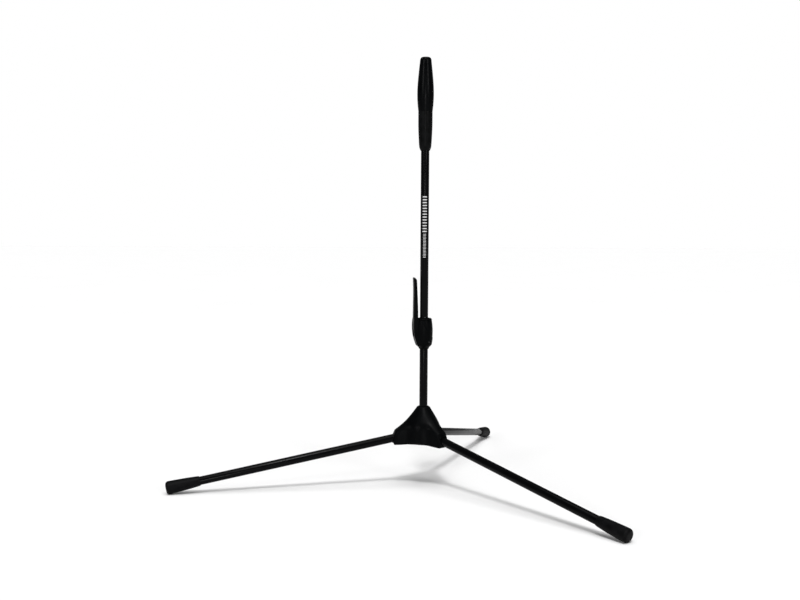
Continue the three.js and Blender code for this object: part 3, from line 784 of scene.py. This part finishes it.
def leg_knuckle(side):
    """The eye on the hinge pin, and the stem that carries the tube."""
    place, half = LEGS[side], KNUCKLE_HALF_WIDTH
    knuckle = cylinder(f"{side}_leg_eye", TUBE_R, -half, half, place @ ALONG_Y, FINE)
    neck = block("neck", (0, -half, -TUBE_R), (KNUCKLE_END, half, TUBE_R), place)
    round_neck = cylinder("round", TUBE_R, -1, KNUCKLE_END, place @ ALONG_X)
    combine(neck, [round_neck], "INTERSECT")
    spigot = cylinder("spigot", TUBE_BORE_R - GAP, KNUCKLE_END - 1, SPIGOT_END, place @ ALONG_X)
    combine(knuckle, [neck, spigot], "UNION")
    combine(knuckle, [cylinder("cut", EYE_R, -7, 7, place @ ALONG_Y, 32)])
    moulded(knuckle, 0.3, 5, 0.5)
    return finish_piece(knuckle, HUB_PLASTIC, f"{side}_leg", "hub_plastic", f"{side}_leg_knuckle")


def leg_saddle(side):
    """The block under the tube that fills the arm's slot while the leg is open."""
    place = LEGS[side]
    low = (SADDLE_START, -SADDLE_HALF_WIDTH, -SADDLE_DEPTH)
    high = (SADDLE_END, SADDLE_HALF_WIDTH, -5)
    saddle = block(f"{side}_leg_saddle_block", low, high, place)
    tube_room = cylinder("cut", TUBE_R + 0.15, SADDLE_START - 1, SADDLE_END + 1, place @ ALONG_X)
    combine(saddle, [tube_room])
    bevelled(saddle, 0.6, 3, 50)
    return finish_piece(saddle, HUB_PLASTIC, f"{side}_leg", "hub_plastic", f"{side}_leg_saddle")


def leg_rivet(side):
    """The rivet's head on the saddle's underside."""
    spot = Matrix.Translation((SADDLE_RIVET * MM, 0, -SADDLE_DEPTH * MM))
    below = LEGS[side] @ spot @ Matrix.Rotation(math.pi, 4, "X")
    body = f"{side}_leg"
    return rivet_head(f"{side}_leg_rivet", 2.3, 0.6, below, ZINC, body, "zinc_steel", f"{side}_knuckle_rivet")


def foot(side):
    """A flared rubber cup over the tube's end, worn flat where it stands on the floor."""
    start, end, bore = LEG_LENGTH - FOOT_LENGTH, FOOT_LENGTH - 0.3, TUBE_R + 0.1
    outline = rounded([
        (0, FOOT_WELL), (bore, FOOT_WELL), (bore, 20), (bore, 0, 0.3), (7.1, 0, 0.4),
        *smooth_curve(FOOT_FLARE, 6), (FOOT_R, end, FOOT_ROUNDING), (0, end),
    ], 8)
    place = LEGS[side] @ ALONG_X @ Matrix.Translation((0, 0, start * MM))
    obj = turned(f"{side}_foot_cap", outline, place, FINEST)
    for vertex in obj.data.vertices:
        vertex.co.z = max(vertex.co.z, 0.0)
    return finish_piece(obj, FOOT_RUBBER, f"{side}_leg", "foot_rubber", f"{side}_foot")


# ------------------------------------------------------------------ peg
PEG_BOTTOM = 517
PEG_WAIST = 576  # joint between the peg's grip and its cone
PEG_SEAM_R = 10.9  # outer radius at that joint
SEAM = 0.06  # gap in the joint
TIP_START = 652.5  # where the cone's side turns over into its tip
TIP_R, TIP_FLAT_R = 8.8, 5.4  # radius at that height, and of the flat on top
STEM_R, STEM_TOP = 4.9, 638.3  # hole in the cone for the peg's core
CORE_SEAT = 580  # bottom of that hole


def peg_grip():
    """The rubber sleeve on the peg's lower half."""
    bore, top = TUBE_R + 0.1, PEG_WAIST - SEAM
    flare = smooth_curve([(7.9, 518.6), (9.2, 523), (10, 534), (10.8, 553), (10.9, 570)], 8)
    outline = rounded([
        (bore, 540), (bore, PEG_BOTTOM, 0.3), (7.3, PEG_BOTTOM, 0.4), *flare,
        (PEG_SEAM_R, top, 0.12), (bore, top, 0.1), (bore, 540),
    ], 5)[:-1]
    grip = turned("peg_grip_sleeve", outline, MAST, FINEST, closed=True)
    return finish_piece(grip, PEG_RUBBER, "upper_mast", "peg_rubber", "peg_grip")


def peg_cone():
    """The shell that enters the trumpet's bell: it swells, tapers and rounds over into a flat tip."""
    bore = TUBE_R + GAP
    swell = smooth_curve([
        (10.95, 576.6), (12.1, 588), (12.65, 600), (12.4, 613), (11.2, 629), (TIP_R, TIP_START),
    ], 8)
    quarter = [math.pi / 2 * k / 10 for k in range(1, 11)]
    tip_height = STAND_HEIGHT - TIP_START
    tip = [(TIP_FLAT_R + (TIP_R - TIP_FLAT_R) * math.cos(a), TIP_START + tip_height * math.sin(a))
           for a in quarter]
    shell = rounded([
        (bore, 578), (bore, PEG_WAIST, 0.2), (PEG_SEAM_R, PEG_WAIST, 0.12), *swell, *tip,
        (0, STAND_HEIGHT),
    ], 6)
    core_hole = [(0, STEM_TOP), (STEM_R, STEM_TOP), (STEM_R, CORE_SEAT), (bore, CORE_SEAT)]
    cone = turned("peg_cone_shell", core_hole + shell, MAST, FINEST)
    return finish_piece(cone, PEG_PLASTIC, "upper_mast", "peg_plastic", "peg_cone")


# ------------------------------------------------------------------ small inner pieces, as the CAD has them
def inner_pieces():
    """Gives a material to each CAD node that no new piece stands for."""
    kept = {
        "lower_tube_insert": ZINC, "mast_screw": ZINC, "mast_washer": ZINC, "lever_pin": ZINC,
        "brake_shoe": ZINC, "brake_pad": BRAKE_RUBBER, "slide_tube_plug": NYLON,
        "peg_core": PEG_PLASTIC, "peg_core_pin": ZINC,
    }
    for side in SIDES:
        kept[f"{side}_hinge_pin"] = ZINC
        kept[f"{side}_hinge_washer_1"] = NYLON
        kept[f"{side}_hinge_washer_2"] = NYLON
    for node, material in kept.items():
        obj = frame["nodes"][node]
        obj.data.materials.clear()
        obj.data.materials.append(material)
        obj.data.shade_smooth()
        obj.data.set_sharp_from_angle(angle=math.radians(30))


# ------------------------------------------------------------------ the whole stand
inner_pieces()
hub()
mast()
print_marks()
clutch_housing()
clutch_cap()
clutch_liner()
set_screw()
cam_lever()
peg_grip()
peg_cone()
for side in SIDES:
    leg_tube(side)
    leg_knuckle(side)
    leg_saddle(side)
    leg_rivet(side)
    foot(side)


# ------------------------------------------------------------------ room, light and camera
ROOM_LIGHT = 0.2  # even light from all round
FLOOR_REACH = 40000
FLOOR_DROP = 0.1  # keeps the floor clear of the feet's flats
LENS = 44.06  # focal length, with a sensor 36 mm wide
CAMERA_BEARING = math.radians(-11.92)  # where the camera stands, round the mast from the front
CAMERA_DISTANCE, CAMERA_HEIGHT = 1.511, 0.38305  # metres, from the mast and from the floor
CAMERA_HEADING = math.radians(-10.506)  # which way it points, round the vertical
CAMERA_DIP = 3.615  # degrees that it looks down
CAMERA_ROLL = math.radians(0.319)


def stage():
    """A plain pale floor and a white room."""
    material, tree, shader = node_material("studio_floor", (0.86, 0.86, 0.86), 0.75, 0.2)
    soft = object_noise(tree, 2, 2)
    tree.links.new(tinted(tree, soft, (0.85, 0.85, 0.85), (0.88, 0.88, 0.88)), shader.inputs["Base Color"])
    quarters = ((-1, -1), (1, -1), (1, 1), (-1, 1))
    corners = [(FLOOR_REACH * x, FLOOR_REACH * y, -FLOOR_DROP) for x, y in quarters]
    floor = new_object("floor", corners, [[0, 1, 2, 3]])
    floor.data.materials.append(material)

    world = bpy.data.worlds.new("studio")
    bpy.context.scene.world = world
    world.use_nodes = True
    tree = world.node_tree
    room = tree.nodes["Background"]
    room.inputs["Color"].default_value = (1, 1, 1, 1)
    room.inputs["Strength"].default_value = ROOM_LIGHT
    backdrop = add_node(tree, "ShaderNodeBackground", {"Color": (1, 1, 1, 1), "Strength": 1.0})
    seen = add_node(tree, "ShaderNodeLightPath").outputs["Is Camera Ray"]
    both = add_node(tree, "ShaderNodeMixShader", {0: seen, 1: room.outputs[0], 2: backdrop.outputs[0]})
    tree.links.new(both.outputs[0], tree.nodes["World Output"].inputs["Surface"])


def far_light(name, azimuth, elevation, spread, strength):
    """A large soft lamp far away. Azimuth 0 is in front, on -Y, and 90 is on +X.
    spread is how large it looks from the stand, in degrees."""
    a, e = math.radians(azimuth), math.radians(elevation)
    toward = Vector((math.sin(a) * math.cos(e), -math.cos(a) * math.cos(e), math.sin(e)))
    lamp = bpy.data.lights.new(name, "SUN")
    lamp.angle = math.radians(spread)
    lamp.energy = strength
    obj = bpy.data.objects.new(name, lamp)
    obj.rotation_euler = (-toward).to_track_quat("-Z", "Y").to_euler()
    bpy.context.scene.collection.objects.link(obj)


def camera():
    """A camera in front of the stand and a little to its left, looking slightly down."""
    data = bpy.data.cameras.new("camera")
    data.lens = LENS
    data.sensor_width = 36
    obj = bpy.data.objects.new("camera", data)
    bpy.context.scene.collection.objects.link(obj)
    place = MAST.translation + Matrix.Rotation(CAMERA_BEARING, 3, "Z") @ Vector((0, -CAMERA_DISTANCE, 0))
    place.z = CAMERA_HEIGHT
    heading = Matrix.Rotation(CAMERA_HEADING, 4, "Z")
    dip = Matrix.Rotation(math.radians(90 - CAMERA_DIP), 4, "X")
    roll = Matrix.Rotation(CAMERA_ROLL, 4, "Z")
    obj.matrix_world = Matrix.Translation(place) @ (heading @ dip @ roll)
    bpy.context.scene.camera = obj


stage()
far_light("above", azimuth=0, elevation=80, spread=60, strength=1.65)
far_light("key", azimuth=-16, elevation=61, spread=10, strength=1.35)
far_light("front", azimuth=-12, elevation=4, spread=8, strength=0.5)
far_light("left", azimuth=-50, elevation=18, spread=10, strength=0.6)
far_light("right", azimuth=26, elevation=18, spread=10, strength=0.6)
camera()
bpy.context.scene.view_settings.view_transform = "Standard"
